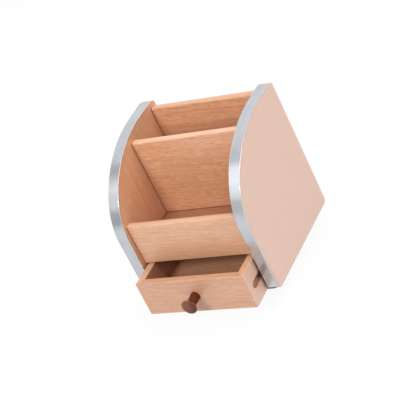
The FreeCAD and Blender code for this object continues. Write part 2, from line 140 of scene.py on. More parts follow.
class Wiring:
    """A node tree under construction."""

    def __init__(self, tree: NodeTree) -> None:
        """Take a tree and empty it."""
        self.tree = tree
        tree.nodes.clear()

    def node(self, kind: str, settings: Settings = None,
             inputs: dict[str | int, Any] | None = None) -> Node:
        """Add a node, set it up, then fill its sockets.

        Args:
            kind: Blender's type name of the node.
            settings: Its own properties.
            inputs: Values or links of its sockets, by name or number.

        Returns:
            The new node.
        """
        node = self.tree.nodes.new(kind)
        for key, value in (settings or {}).items():
            setattr(node, key, value)
        for key, value in (inputs or {}).items():
            self.feed(node.inputs[key], value)
        return node

    def feed(self, socket: NodeSocket, value: Any) -> None:
        """Link or set a socket.

        Args:
            socket: The input socket.
            value: An output or a signal to link, or a plain value.
        """
        if isinstance(value, Signal):
            self.tree.links.new(value.socket, socket)
        elif isinstance(value, NodeSocket):
            self.tree.links.new(value, socket)
        elif isinstance(value, tuple) and socket.type == "RGBA":
            socket.default_value = (*value, 1.0)
        else:
            socket.default_value = value


class Graph(Wiring):
    """Node tree of one material, around a Principled shader."""

    def __init__(self, name: str) -> None:
        """Start an empty material with a Principled shader on its output.

        Args:
            name: Name of the material.
        """
        self.material = bpy.data.materials.new(name)
        self.material.use_nodes = True
        super().__init__(self.material.node_tree)
        self.shader = self.node("ShaderNodeBsdfPrincipled")
        self.output = self.node("ShaderNodeOutputMaterial", None,
                                {"Surface": self.shader.outputs[0]})

    def shade(self, **values: Any) -> None:
        """Feed inputs of the Principled shader, named with underscores for spaces."""
        for key, value in values.items():
            self.feed(self.shader.inputs[key.replace("_", " ")], value)

    def place(self, offset: Vector, rotation: Sequence[float] = (0, 0, 0)) -> NodeSocket:
        """Object coordinates in metres, moved and turned.

        Args:
            offset: How far the pattern is moved.
            rotation: Turn about X, Y and Z, in radians.

        Returns:
            The vector socket.
        """
        here = self.node("ShaderNodeTexCoord").outputs["Object"]
        return self.node("ShaderNodeMapping", {"vector_type": "POINT"}, {
            "Vector": here, "Location": offset, "Rotation": rotation}).outputs["Vector"]

    def noise(self, vector: NodeSocket, scale: Waves, detail: float = 2.0,
              roughness: float = 0.5, distortion: float = 0.0) -> Signal:
        """Noise over a stretched vector.

        Args:
            vector: Place on the piece.
            scale: Waves per metre along each axis.
            detail, roughness, distortion: The noise's own settings.

        Returns:
            Its value, about 0.5 on average.
        """
        stretched = self.node("ShaderNodeVectorMath", {"operation": "MULTIPLY"},
                              {0: vector, 1: scale})
        node = self.node("ShaderNodeTexNoise", None, {
            "Vector": stretched.outputs["Vector"], "Scale": 1.0, "Detail": detail,
            "Roughness": roughness, "Distortion": distortion})
        return Signal(self, node.outputs["Fac"])

    def blend(self, factor: Signal | float, first: Any, second: Any) -> NodeSocket:
        """Mix two colours."""
        node = self.node("ShaderNodeMix", {"data_type": "RGBA"},
                         {"Factor": factor, 6: first, 7: second})
        return node.outputs[2]

    def coordinate(self, axis: str) -> Signal:
        """One of the object coordinates, in metres, by its letter."""
        parts = self.node("ShaderNodeSeparateXYZ", None, {
            "Vector": self.node("ShaderNodeTexCoord").outputs["Object"]})
        return Signal(self, parts.outputs[axis])

    def relief(self, height: Signal, depth: float, strength: float = 1.0) -> None:
        """Feed the shader's normal from a height map whose full range is depth metres."""
        bump = self.node("ShaderNodeBump", None,
                         {"Height": height, "Distance": depth, "Strength": strength})
        self.shade(Normal=bump.outputs["Normal"])


class GeometryTree(Wiring):
    """A Geometry Nodes tree with named inputs."""

    def __init__(self, name: str) -> None:
        """Start a tree that takes and returns geometry.

        Args:
            name: Name of the tree.
        """
        super().__init__(bpy.data.node_groups.new(name, "GeometryNodeTree"))
        for way in ("INPUT", "OUTPUT"):
            self.tree.interface.new_socket("Geometry", in_out=way,
                                           socket_type="NodeSocketGeometry")
        self.inputs = self.node("NodeGroupInput")
        self.outputs = self.node("NodeGroupOutput")

    def ask(self, name: str, kind: str = "Float") -> NodeSocket:
        """Add a named input and return its socket inside the tree."""
        self.tree.interface.new_socket(name, in_out="INPUT", socket_type=f"NodeSocket{kind}")
        return self.inputs.outputs[name]

    def add(self, kind: str, settings: Settings = None, **inputs: Any) -> NodeSocket:
        """Add a geometry node and return its first output.

        Args:
            kind: Blender's type name of the node, without GeometryNode.
            settings: Its own properties.
            inputs: Values or links of its sockets, named with underscores for spaces.

        Returns:
            The output socket.
        """
        named = {key.replace("_", " "): value for key, value in inputs.items()}
        return self.node(f"GeometryNode{kind}", settings, named).outputs[0]

    def raised(self, geometry: NodeSocket, height: NodeSocket) -> NodeSocket:
        """Lift geometry along Z."""
        lift = self.node("ShaderNodeCombineXYZ", None, {"Z": height})
        return self.add("Transform", Geometry=geometry, Translation=lift.outputs[0])

    def finish(self, geometry: NodeSocket) -> NodeTree:
        """End the tree with real geometry in the material of its Material input.

        Args:
            geometry: What the tree has made.

        Returns:
            The finished tree.
        """
        real = self.add("RealizeInstances", Geometry=geometry)
        dressed = self.add("SetMaterial", Geometry=real,
                           Material=self.ask("Material", "Material"))
        self.feed(self.outputs.inputs[0], dressed)
        return self.tree


# ---- finishes

class Grain(Enum):
    """Which way the fibres of a board run; the value turns them onto the pattern's X axis."""

    ACROSS = (0.0, math.radians(-3), 0.0)
    DEEP = (0.0, 0.0, math.radians(90))
    UPRIGHT = (0.0, math.radians(90), 0.0)


@dataclass(frozen=True)
class Ramp:
    """Stretch of one axis over which a tone comes in, from start to full; it may run either way."""

    axis: str
    start: float
    full: float
    mirrored: bool = False

    @classmethod
    def by(cls, axis: str, face: float, reach: float, share: float,
           mirrored: bool = False) -> "Ramp":
        """Make a ramp that starts at a signed reach from a face and is full at a share of it."""
        return cls(axis, face + reach, face + reach * share, mirrored)

    def mask(self, graph: Graph) -> Signal:
        """Build the mask.

        Args:
            graph: Material that the mask is for.

        Returns:
            0 before start and 1 past full; mirrored, it is the same on both sides of zero.
        """
        place = graph.coordinate(self.axis)
        if self.mirrored:
            place = abs(place)
        return place.between(self.start, self.full)


def cover(graph: Graph, ramps: Sequence[Ramp], strength: float) -> Signal | float:
    """Mask a place that several ramps bound.

    Args:
        graph: Material that the mask is for.
        ramps: Bounds of the place.
        strength: Value where every ramp is full.

    Returns:
        The mask, or the strength itself without ramps.
    """
    mask: Signal | float = strength
    for ramp in ramps:
        mask = ramp.mask(graph) * mask
    return mask


@dataclass(frozen=True)
class Tone:
    """Colour of a place that every one of its ramps covers, such as a routed groove, or painted
    shade in a joint.
    """

    colour: Colour
    ramps: tuple[Ramp, ...]
    strength: float = 1.0
    variation: float = 0.015

    def over(self, graph: Graph, grain: Signal, below: NodeSocket) -> NodeSocket:
        """Lay the tone over a colour.

        Args:
            graph: Material that the tone is for.
            grain: Light and dark of the surface, which shows through the tone.
            below: Colour without the tone.

        Returns:
            The new colour.
        """
        mask = cover(graph, self.ramps, self.strength)
        pale, deep = (tuple(part * share for part in self.colour)
                      for share in (1 + self.variation, 1 - self.variation))
        return graph.blend(mask, below, graph.blend(grain, pale, deep))


BEECH_RING = srgb(170, 101, 58)
# Dark brown of painted shade: in the fine grooves at the ends and foot of cross boards, on a
# panel's foot under its strip, and in the gap beside the drawer.
PAINTED_SHADE = srgb(56, 20, 11)
PORE_DEPTH = 0.03 * MM
PORE_STRENGTH = 0.5
SKIN = 0.3 * MM
SKIN_CORE = 0.3
BAY_FADE = 12 * MM


@dataclass(frozen=True)
class Beech:
    """Lacquered beech: thin wavy rings, fibres along the grain, soft bands and faint ray flecks.

    Its waves are counts per metre, first along the grain and then across it.
    """

    name: str
    pale: Colour
    deep: Colour
    ring_strength: float = 0.3
    lacquer: float = 0.9
    fleck_strength: float = 0.25
    cloud_waves: Waves = (6, 30, 30)
    band_waves: Waves = (6, 200, 200)
    ring_waves: Waves = (6, 400, 400)
    streak_waves: Waves = (30, 760, 760)
    fibre_waves: Waves = (110, 1000, 1000)
    fleck_waves: Waves = (400, 1500, 1500)
    ring_half_width: float = 0.06
    ring_bands: Point = (0.3, 0.6)
    fleck_range: Point = (0.64, 0.74)
    grain_range: Point = (0.385, 0.615)
    roughness: float = 0.42
    coat_roughness: float = 0.3
    pattern_step: Triple = (0.37, 0.83, 0.59)

    def dress(self, grain: Grain, seed: int, tones: Sequence[Tone] = ()) -> Material:
        """Build the finish for one board.

        Args:
            grain: The way the fibres run.
            seed: Number of the board, which moves the pattern so that no two boards match.
            tones: Places on the board that have another tone.

        Returns:
            The material.
        """
        graph = Graph(f"{self.name}_{seed}")
        here = graph.place(Vector(self.pattern_step) * seed, grain.value)
        cloud, band, wave, streak, fibre = (graph.noise(here, waves, 1.0) for waves in (
            self.cloud_waves, self.band_waves, self.ring_waves, self.streak_waves,
            self.fibre_waves))
        ring = abs(wave - 0.5).between(self.ring_half_width, 0.0)
        fleck = graph.noise(here, self.fleck_waves, 0.0).between(*self.fleck_range)
        depth = cloud * 0.05 + band * 0.05 + streak * 0.34 + fibre * 0.56
        grain_tone = depth.between(*self.grain_range)
        wood = graph.blend(grain_tone, self.pale, self.deep)
        ring_cover = ring * band.between(*self.ring_bands) * self.ring_strength
        wood = graph.blend(ring_cover, wood, BEECH_RING)
        wood = graph.blend(fleck * self.fleck_strength, wood, BEECH_RING)
        for tone in tones:
            wood = tone.over(graph, grain_tone, wood)
        graph.shade(Base_Color=wood, Roughness=self.roughness + fibre * 0.1,
                    Coat_Weight=self.lacquer, Coat_Roughness=self.coat_roughness)
        graph.relief(fibre * 0.6 + streak * 0.4, PORE_DEPTH, PORE_STRENGTH)
        return graph.material


@dataclass(frozen=True)
class BrushedMetal:
    """Satin metal with fine brush lines along one direction."""

    name: str
    tint: Colour
    roughness: float
    line_waves: Waves
    contrast: float = 0.1
    scratch_waves: Waves = (900, 900, 900)
    scratch_depth: float = 0.004 * MM
    metallic: float = 1.0
    # Paler cream colour of the long edges: a painted highlight line.
    edge_highlight: Colour = (0.68, 0.62, 0.54)
    # Strength of the painted shade where a strip's edge lies in the gap beside the drawer.
    gap_shade_strength: float = 0.85
    cloud_waves: Waves = (90, 45, 45)
    pattern_step: Triple = (0.21, 0.43, 0.67)

    def dress(self, seed: int, edges: Sequence[Ramp] = (),
              shaded_gap: Sequence[Ramp] = ()) -> Material:
        """Build the finish.

        Args:
            seed: Moves the pattern.
            edges: Narrow bands, each by one ramp, where a paler cream colour paints a highlight
                line.
            shaded_gap: The one place with painted shade, where a strip's edge lies in the dark gap
                beside the drawer; all these ramps are full there.

        Returns:
            The material.
        """
        graph = Graph(f"{self.name}_{seed}")
        here = graph.place(Vector(self.pattern_step) * seed)
        line = graph.noise(here, self.line_waves, 2.0, 0.6)
        cloud = graph.noise(here, self.cloud_waves, 2.0)
        shade = tuple(part * (1 - self.contrast) for part in self.tint)
        colour = graph.blend((line * 0.5 + cloud * 0.5).between(0.3, 0.7), self.tint, shade)
        roughness = self.roughness + (line - 0.5) * 0.12 + (cloud - 0.5) * 0.1
        # Painted highlight along the edges.
        for edge in edges:
            colour = graph.blend(edge.mask(graph), colour, self.edge_highlight)
        # Painted shade in the dark gap beside the drawer.
        if shaded_gap:
            colour = Tone(PAINTED_SHADE, tuple(shaded_gap), self.gap_shade_strength).over(graph, line, colour)
        graph.shade(Base_Color=colour, Metallic=self.metallic, Roughness=roughness)
        graph.relief(graph.noise(here, self.scratch_waves, 1.0), self.scratch_depth)
        return graph.material


@dataclass(frozen=True)
class StainedWood:
    """Dark stained and lacquered turned wood, with fibres along Y."""

    name: str
    pale: Colour
    deep: Colour
    # Paler grey-brown of the front face: a painted sheen, which the face ramps also shape into the
    # dome's painted shading.
    face: Colour
    sheen_cover: float = 0.8
    roughness: float = 0.36
    polish: float = 0.9
    coat_roughness: float = 0.1
    specular: float = 0.2
    streak_waves: Waves = (60, 900, 900)
    pore_waves: Waves = (260, 2600, 2600)

    def dress(self, face: Sequence[Ramp], rim: Sequence[Ramp]) -> Material:
        """Build the finish.

        Args:
            face: Where the front face gets a painted sheen in a paler grey-brown; all of its ramps
                are full there.
            rim: Where the polished rim is, in the same way.

        Returns:
            The material.
        """
        graph = Graph(self.name)
        here = graph.place(Vector((0.1, 0.2, 0.3)), Grain.DEEP.value)
        streak = graph.noise(here, self.streak_waves, 3.0, 0.6, 0.3)
        pore = graph.noise(here, self.pore_waves, 1.0)
        wood = graph.blend(streak.between(0.3, 0.7), self.pale, self.deep)
        # Painted sheen on the front face.
        wood = graph.blend(cover(graph, face, self.sheen_cover), wood, self.face)
        graph.shade(Base_Color=wood, Roughness=self.roughness + streak * 0.12,
                    Coat_Weight=cover(graph, rim, self.polish),
                    Coat_Roughness=self.coat_roughness, Specular_IOR_Level=self.specular)
        graph.relief(streak * 0.6 + pore * 0.4, PORE_DEPTH, PORE_STRENGTH)
        return graph.material


@dataclass(frozen=True)
class Moulded:
    """Plain moulded rubber or plastic with a fine skin."""

    name: str
    tint: Colour
    roughness: float
    pebble_waves: Waves = (2200, 2200, 2200)
    cloud_waves: Waves = (40, 40, 40)
    skin_depth: float = 0.04 * MM

    def dress(self) -> Material:
        """Build the finish.

        Returns:
            The material.
        """
        graph = Graph(self.name)
        here = graph.place(Vector((0.3, 0.1, 0.7)))
        skin = graph.noise(here, self.pebble_waves, 1.0)
        cloud = graph.noise(here, self.cloud_waves, 2.0)
        worn = tuple(min(1.0, part * 1.25 + 0.01) for part in self.tint)
        graph.shade(Base_Color=graph.blend(cloud.between(0.35, 0.75), self.tint, worn),
                    Roughness=self.roughness + (skin - 0.5) * 0.15)
        graph.relief(skin, self.skin_depth, 0.6)
        return graph.material


BOARD = Beech("board_beech", srgb(212, 163, 129), srgb(195, 138, 100))
BACK = Beech("back_beech", srgb(221, 172, 138), srgb(204, 147, 109), 0.45)
# Darker beech of the compartment floor: painted shade of the deep compartments.
SHADED_FLOOR = Beech("floor_beech", srgb(172, 121, 93), srgb(158, 106, 77), 0.4, 0.4)
FASCIA = Beech("fascia_beech", srgb(206, 161, 130), srgb(195, 148, 116))
DRAWER = Beech("drawer_beech", srgb(192, 147, 118), srgb(181, 134, 103))
DRAWER_INSIDE = Beech("drawer_inside_beech", srgb(197, 145, 115), srgb(183, 129, 98), 0.4, 0.4)
PANEL = Beech("panel_beech", srgb(208, 156, 122), srgb(197, 143, 108))
ALUMINIUM = BrushedMetal("satin_aluminium", (0.547, 0.567, 0.603), 0.22, (1100, 9, 9), 0.12,
                         (2200, 12, 12), 0.025 * MM, metallic=0.8)
ZINC = BrushedMetal("zinc_steel", srgb(190, 192, 196), 0.34, (700, 700, 700))
BALL_STEEL = BrushedMetal("ball_steel", srgb(215, 216, 220), 0.12, (300, 300, 300), 0.04)
# Its third colour is the painted sheen of the knob's front face.
KNOB_WOOD = StainedWood("stained_knob", srgb(98, 43, 22), srgb(76, 29, 12), srgb(118, 78, 64))
# Paler pinkish outer face of the side panels: a painted sheen, standing for the lacquer's
# reflection.
OUTER_FACE_SHEEN = srgb(205, 169, 150)
BAY_SHADE = srgb(96, 58, 38)
# Painted shade on the edges of the bottom board.
PAINTED_EDGE_SHADE = srgb(88, 58, 42)
# Painted shade on the lower part of the back panel's front face.
BACK_FOOT_SHADE = srgb(160, 104, 74)
# Painted shade, darker and warmer towards the fascia's foot.
FASCIA_FOOT_SHADE = srgb(196, 142, 106)
# Painted light: a lighter upper edge of the divider.
DIVIDER_LIP_LIGHT = srgb(212, 168, 138)
# Painted shade: a darker upper edge of the back panel.
BACK_LIP_SHADE = srgb(190, 144, 112)
# Painted shade: a darker upper edge of the fascia.
FASCIA_LIP_SHADE = srgb(192, 151, 123)
ROUTED = srgb(190, 146, 118)
# Paler pinkish outer face of the drawer sides: a painted sheen, standing for the lacquer's
# reflection.
DRAWER_SIDE_SHEEN = srgb(206, 165, 141)
# Painted shade on the inner faces of the drawer sides.
DRAWER_SIDE_WALL_SHADE = srgb(162, 108, 80)
# Painted light: a lighter upper edge of the drawer sides.
DRAWER_SIDE_LIP_LIGHT = srgb(212, 160, 125)
RUBBER = Moulded("pad_rubber", srgb(38, 38, 40), 0.75)
NYLON = Moulded("cage_nylon", srgb(226, 224, 214), 0.5)


# ---- mesh helpers

def wear(material: Material, *nodes: str) -> None:
    """Give nodes of the frame one material.

    Args:
        material: The finish that replaces what they have.
        nodes: Names of the nodes.
    """
    for node in nodes:
        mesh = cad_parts[node].data
        mesh.materials.clear()
        mesh.materials.append(material)


def side_reach(node: str) -> Point:
    """Least and greatest distance of a node from the middle plane of the object."""
    near, far = sorted(abs(corner.x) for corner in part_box(node))
    return near, far


def side_skin(face: float, outwards: int) -> Ramp:
    """Thin skin on a face square to X and on its mirror image; outwards is 1 or -1."""
    return Ramp.by("X", face, -outwards * SKIN, SKIN_CORE, True)


def new_piece(name: str, data: ID) -> Object:
    """Put a new object into the scene, at the origin.

    Args:
        name: Name of the object.
        data: Its mesh, curve, lamp or camera.

    Returns:
        The object.
    """
    piece = bpy.data.objects.new(name, data)
    bpy.context.scene.collection.objects.link(piece)
    return piece


def mesh_from(name: str, shape: bmesh.types.BMesh) -> Mesh:
    """Turn a finished shape into a mesh.

    Args:
        name: Name of the mesh.
        shape: The shape, which is freed.

    Returns:
        The mesh.
    """
    mesh = bpy.data.meshes.new(name)
    shape.to_mesh(mesh)
    shape.free()
    return mesh


def square(name: str, side: float, place: Matrix) -> Object:
    """Add a square piece of the stage.

    Args:
        name: Name of the piece and of its mesh.
        side: Length of its side.
        place: Where it goes from the origin, where it faces up.

    Returns:
        The piece.
    """
    shape = bmesh.new()
    bmesh.ops.create_grid(shape, x_segments=1, y_segments=1, size=side / 2)
    bmesh.ops.transform(shape, matrix=place, verts=shape.verts)
    return new_piece(name, mesh_from(name, shape))


def add_wall(shape: bmesh.types.BMesh, upper: Sequence[Any], lower: Sequence[Any]) -> None:
    """Join two closed rings of corners.

    Args:
        shape: Shape that the faces are added to.
        upper, lower: The rings, with as many corners each, or one corner for a tip.
    """
    for step in range(max(len(upper), len(lower))):
        corners = [ring[place % len(ring)] for ring, place in (
            (upper, step), (upper, step + 1), (lower, step + 1), (lower, step))]
        shape.faces.new(list(dict.fromkeys(corners)))


def add_turned(shape: bmesh.types.BMesh, profile: Sequence[Point], steps: int) -> list[list[Any]]:
    """Add walls made by turning a profile about the Z axis.

    Args:
        shape: Shape that they are added to.
        profile: Radius and height of each point.
        steps: Corners round the axis.

    Returns:
        The ring of corners of each point; one on the axis has a single corner.
    """
    rings = []
    for radius, height in profile:
        turns = (math.tau * step / steps for step in range(steps if radius else 1))
        rings.append([shape.verts.new((radius * math.cos(turn), radius * math.sin(turn),
                                       height)) for turn in turns])
    for upper, lower in zip(rings, rings[1:]):
        add_wall(shape, upper, lower)
    return rings


def arc_points(centre: Point, radius: float, start: float, end: float,
               steps: int = 8) -> list[Point]:
    """Points of an arc in a profile, from start to end degrees."""
    angles = [math.radians(start + (end - start) * step / steps) for step in range(steps + 1)]
    return [(centre[0] + radius * math.cos(angle), centre[1] + radius * math.sin(angle))
            for angle in angles]


def grown(name: str, start: Mesh | Curve, tree: NodeTree, values: dict[str, Any]) -> Object:
    """Run a tree and keep its result as a piece with a plain mesh.

    Args:
        name: Name of the piece and of its mesh.
        start: Geometry that the tree starts from.
        tree: The Geometry Nodes tree.
        values: Value of each named input, the material among them.

    Returns:
        The piece, without a modifier.
    """
    base = new_piece(f"{name}_start", start)
    modifier = base.modifiers.new("grow", "NODES")
    modifier.node_group = tree
    for item in tree.interface.items_tree:
        if item.in_out == "INPUT" and item.name in values:
            modifier[item.identifier] = values[item.name]
    depsgraph = bpy.context.evaluated_depsgraph_get()
    mesh = bpy.data.meshes.new_from_object(base.evaluated_get(depsgraph))
    bpy.data.objects.remove(base)
    mesh.name = name
    mesh.materials.clear()
    mesh.materials.append(values["Material"])
    mesh.polygons.foreach_set("material_index", [0] * len(mesh.polygons))
    return new_piece(name, mesh)


def islands(node: str) -> list[tuple[Vector, Vector]]:
    """Corners of the box round each separate solid of a node.

    Args:
        node: Name of a node that holds several alike solids.

    Returns:
        Lowest and highest corner of each, sorted by place so that each run gives the same order.
    """
    shape = bmesh.new()
    shape.from_mesh(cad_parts[node].data)
    bmesh.ops.remove_doubles(shape, verts=shape.verts, dist=1e-6)
    waiting = set(shape.verts)
    boxes = []
    while waiting:
        front = [waiting.pop()]
        places = []
        while front:
            vertex = front.pop()
            places.append(vertex.co.copy())
            for edge in vertex.link_edges:
                other = edge.other_vert(vertex)
                if other in waiting:
                    waiting.remove(other)
                    front.append(other)
        boxes.append(tuple(Vector(pick(place[axis] for place in places) for axis in range(3))
                           for pick in (min, max)))
    shape.free()
    return sorted(boxes, key=lambda box: [round(part, 5) for part in box[0]])


def keep_flats_flat(mesh: Mesh, ratio: float = 4.0) -> None:
    """Stop smooth shading where a broad face meets a narrow rounding.

    Args:
        mesh: Smooth-shaded mesh.
        ratio: How many times larger the one face is than the other.
    """
    shape = bmesh.new()
    shape.from_mesh(mesh)
    for edge in shape.edges:
        areas = sorted(face.calc_area() for face in edge.link_faces)
        if len(areas) == 2 and areas[1] > ratio * areas[0]:
            edge.smooth = False
    shape.to_mesh(mesh)
    shape.free()


# ---- sub-assemblies

def strip_tree() -> NodeTree:
    """Build a tree that sweeps a rounded flat section along a curve.

    Returns:
        The tree.
    """
    tree = GeometryTree("bent_strip")
    width, thickness, radius = (tree.ask(name) for name in ("Width", "Thickness", "Edge Radius"))
    flat = tree.add("CurvePrimitiveQuadrilateral", {"mode": "RECTANGLE"},
                    Width=width, Height=thickness)
    section = tree.add("FilletCurve", {"mode": "POLY"}, Curve=flat, Count=4, Radius=radius)
    path = tree.add("SetCurveNormal", {"mode": "MINIMUM_TWIST"},
                    Curve=tree.inputs.outputs["Geometry"])
    swept = tree.add("CurveToMesh", Curve=path, Profile_Curve=section, Fill_Caps=True)
    return tree.finish(tree.add("SetShadeSmooth", Geometry=swept))


@dataclass
class EdgeStrips:
    """Two aluminium strips, bent over the top and down the front of the side panels."""

    curve_depth: float = 107.0 * MM
    curve_height: float = 80.0 * MM
    thickness: float = 1.5 * MM
    edge_radius: float = 0.5 * MM
    edge_core: float = 0.4
    gap_shade: float = 0.9 * MM
    gap_core: float = 0.7
    curve_steps: int = 64

    def build(self) -> None:
        """Make and dress both strips in place of their plain nodes."""
        for side in SIDES:
            node = f"edge_strip_{side}"
            # Painted highlight along both long edges, and painted shade on the inner edge beside
            # the drawer.
            metal = ALUMINIUM.dress(len(side), self._highlight_edges(node), self._gap_edge(node))
            strip = self._sweep(node, metal)
            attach(strip, "cabinet")
            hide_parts(node)
            LOG.info("bent strip %s", strip.name)

    def _highlight_edges(self, node: str) -> tuple[Ramp, ...]:
        """Narrow bands along both long edges of a strip, by distance from the middle, where a paler
        cream colour paints a highlight line.
        """
        near, far = side_reach(node)
        return (Ramp.by("X", far, -self.edge_radius, self.edge_core, True),
                Ramp.by("X", near, self.edge_radius, self.edge_core, True))

    def _path(self, low: Vector, high: Vector) -> list[Vector]:
        """Draw the middle line of a strip.

        Args:
            low, high: Corners of the strip's box.

        Returns:
            Points from its rear end on top to its foot in front.
        """
        half = self.thickness / 2
        middle_x = (low.x + high.x) / 2
        top, front = high.z - half, low.y + half
        centre_y = low.y + self.thickness + self.curve_depth
        centre_z = high.z - self.thickness - self.curve_height
        path = [Vector((middle_x, high.y, top))]
        for step in range(self.curve_steps + 1):
            angle = math.radians(90) * step / self.curve_steps
            path.append(Vector((middle_x,
                                centre_y - (self.curve_depth + half) * math.sin(angle),
                                centre_z + (self.curve_height + half) * math.cos(angle))))
        path.append(Vector((middle_x, front, low.z)))
        return path

    def _gap_edge(self, node: str) -> tuple[Ramp, ...]:
        """Where a strip's inner edge gets painted shade, in the dark gap beside the drawer."""
        bay_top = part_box("front_fascia")[0].z
        return (Ramp.by("X", side_reach(node)[0], self.gap_shade, self.gap_core, True),
                Ramp("Z", bay_top + 2 * MM, bay_top - BAY_FADE))

    def _sweep(self, node: str, metal: Material) -> Object:
        """Sweep the strip's section along its middle line with Geometry Nodes.

        Args:
            node: The plain node that the strip stands for.
            metal: Its material.

        Returns:
            The piece.
        """
        low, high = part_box(node)
        points = self._path(low, high)
        curve = bpy.data.curves.new(f"{node}_path", "CURVE")
        curve.dimensions = "3D"
        spline = curve.splines.new("POLY")
        spline.points.add(len(points) - 1)
        for point, place in zip(spline.points, points):
            point.co = (*place, 1.0)
        strip = grown(f"{node}_bent", curve, strip_tree(), {
            "Width": high.x - low.x, "Thickness": self.thickness,
            "Edge Radius": self.edge_radius, "Material": metal})
        keep_flats_flat(strip.data)
        return strip


@dataclass(frozen=True)
class CrossScrew:
    """Cross-head screw along +Z: its thread starts under the head and its tip is farthest."""

    diameter: float
    length: float
    head_diameter: float
    head_height: float
    countersunk: bool
    core_share: float = 0.8
    segments: int = 24
    pan_outline: tuple[Point, ...] = ((0.72, 0.0), (0.88, 0.12), (0.97, 0.35), (1.0, 0.65))
    recess_reach: float = 0.29
    recess_half_width: float = 0.06
    recess_depth: float = 0.7

    def head_top(self) -> float:
        """Height of the driven face: a countersunk head starts at 0, a pan head ends there."""
        return 0.0 if self.countersunk else -self.head_height

    def thread_start(self) -> float:
        """Height at which the thread starts."""
        return (self.head_height if self.countersunk else 0.0) + 0.4 * MM

    def thread_length(self) -> float:
        """Length of the threaded part, which ends before the point."""
        return self.length - self.diameter - self.thread_start()

    def _profile(self) -> list[Point]:
        """Outline of the screw without its thread.

        Returns:
            Radius and height from the rim of the driven face to the point.
        """
        head, top = self.head_diameter / 2, self.head_top()
        core = self.diameter / 2 * self.core_share
        if self.countersunk:
            outline = [(head * 0.97, top), (head, top + 0.1 * MM),
                       (self.diameter / 2, top + self.head_height)]
        else:
            outline = [(head * out, top + self.head_height * down)
                       for out, down in self.pan_outline]
            outline += [(head, 0.0), (self.diameter / 2, 0.0)]
        start = outline[-1][1]
        return outline + [(self.diameter / 2, start + 0.3 * MM), (core, start + 0.5 * MM),
                          (core, self.length - self.diameter), (core * 0.15, self.length)]

    def blank(self, name: str) -> Mesh:
        """Make the head with its cross recess, and the smooth core of the shank.

        Args:
            name: Name of the mesh.

        Returns:
            A closed mesh.
        """
        shape = bmesh.new()
        rings = add_turned(shape, self._profile(), self.segments)
        shape.faces.new(rings[-1])
        arm = self.head_diameter * self.recess_reach
        half = self.head_diameter * self.recess_half_width
        rim = self._cross(shape, arm, half, self.head_top())
        floor = self._cross(shape, arm * 0.5, half * 0.6,
                            self.head_top() + self.head_height * self.recess_depth)
        add_wall(shape, rim, floor)
        shape.faces.new(floor)
        border = [shape.edges.get(pair) or shape.edges.new(pair)
                  for ring in (rings[0], rim) for pair in zip(ring, ring[1:] + ring[:1])]
        bmesh.ops.triangle_fill(shape, use_beauty=True, edges=border)
        bmesh.ops.recalc_face_normals(shape, faces=shape.faces)
        return mesh_from(name, shape)

    @staticmethod
    def _cross(shape: bmesh.types.BMesh, arm: float, half: float, height: float) -> list[Any]:
        """Add the corners of a cross.

        Args:
            shape: Shape that they are added to.
            arm, half: Reach and half the width of an arm.
            height: Height of the cross.

        Returns:
            The twelve corners, in order.
        """
        quarter = [(arm, -half), (arm, half), (half, half)]
        corners = []
        for turn in range(4):
            for x, y in quarter:
                for _ in range(turn):
                    x, y = -y, x
                corners.append(shape.verts.new((x, y, height)))
        return corners


def screw_tree() -> NodeTree:
    """Build a tree that threads a blank screw and sets it on every point, along its aim.

    Returns:
        The tree.
    """
    tree = GeometryTree("cross_screws")
    radius, ridge_radius, turns, start, height = (tree.ask(name) for name in (
        "Core Radius", "Ridge", "Turns", "Thread Start", "Thread Length"))
    seed = tree.ask("Seed", "Int")
    blank = tree.node("GeometryNodeObjectInfo", None, {"Object": tree.ask("Blank", "Object")})
    helix = tree.add("CurveSpiral", Resolution=16, Rotations=turns, Start_Radius=radius,
                     End_Radius=radius, Height=height)
    upright = tree.add("SetCurveNormal", {"mode": "Z_UP"}, Curve=helix)
    ridge = tree.add("CurvePrimitiveCircle", {"mode": "RADIUS"}, Resolution=4,
                     Radius=ridge_radius)
    thread = tree.add("CurveToMesh", Curve=upright, Profile_Curve=ridge, Fill_Caps=True)
    screw = tree.node("GeometryNodeJoinGeometry")
    for part in (blank.outputs["Geometry"], tree.raised(thread, start)):
        tree.feed(screw.inputs[0], part)
    aim = tree.add("InputNamedAttribute", {"data_type": "FLOAT_VECTOR"}, Name="aim")
    along = tree.node("FunctionNodeAlignRotationToVector", {"axis": "Z"}, {"Vector": aim})
    angle = tree.node("FunctionNodeRandomValue", {"data_type": "FLOAT"},
                      {2: 0.0, 3: math.tau, "Seed": seed})
    driven = tree.node("FunctionNodeAxisAngleToRotation", None,
                       {"Axis": (0.0, 0.0, 1.0), "Angle": angle.outputs[1]})
    turned = tree.node("FunctionNodeRotateRotation", {"rotation_space": "LOCAL"},
                       {"Rotation": along.outputs[0], "Rotate By": driven.outputs[0]})
    return tree.finish(tree.add("InstanceOnPoints", Points=tree.inputs.outputs["Geometry"],
                                Instance=screw.outputs[0], Rotation=turned.outputs[0]))


@dataclass(frozen=True)
class ScrewSet:
    """Alike screws of one node; a sideways set points away from the middle of the object."""

    node: str
    body: str
    kind: CrossScrew
    aim: Triple
    sideways: bool = False

    def points(self) -> Mesh:
        """Mark where the screws start.

        Returns:
            A mesh of single vertices, each with its aim.
        """
        places, aims = [], []
        for low, high in islands(self.node):
            middle = (low + high) / 2
            aim = Vector(self.aim)
            if self.sideways and middle.x < 0:
                aim = -aim
            reach = (high - low) / 2
            back = sum(abs(part) * size for part, size in zip(aim, reach))
            places.append(middle - aim * (back + self.kind.head_top()))
            aims.append(aim)
        mesh = bpy.data.meshes.new(f"{self.node}_places")
        mesh.from_pydata(places, [], [])
        attribute = mesh.attributes.new("aim", "FLOAT_VECTOR", "POINT")
        for item, aim in zip(attribute.data, aims):
            item.vector = aim
        return mesh


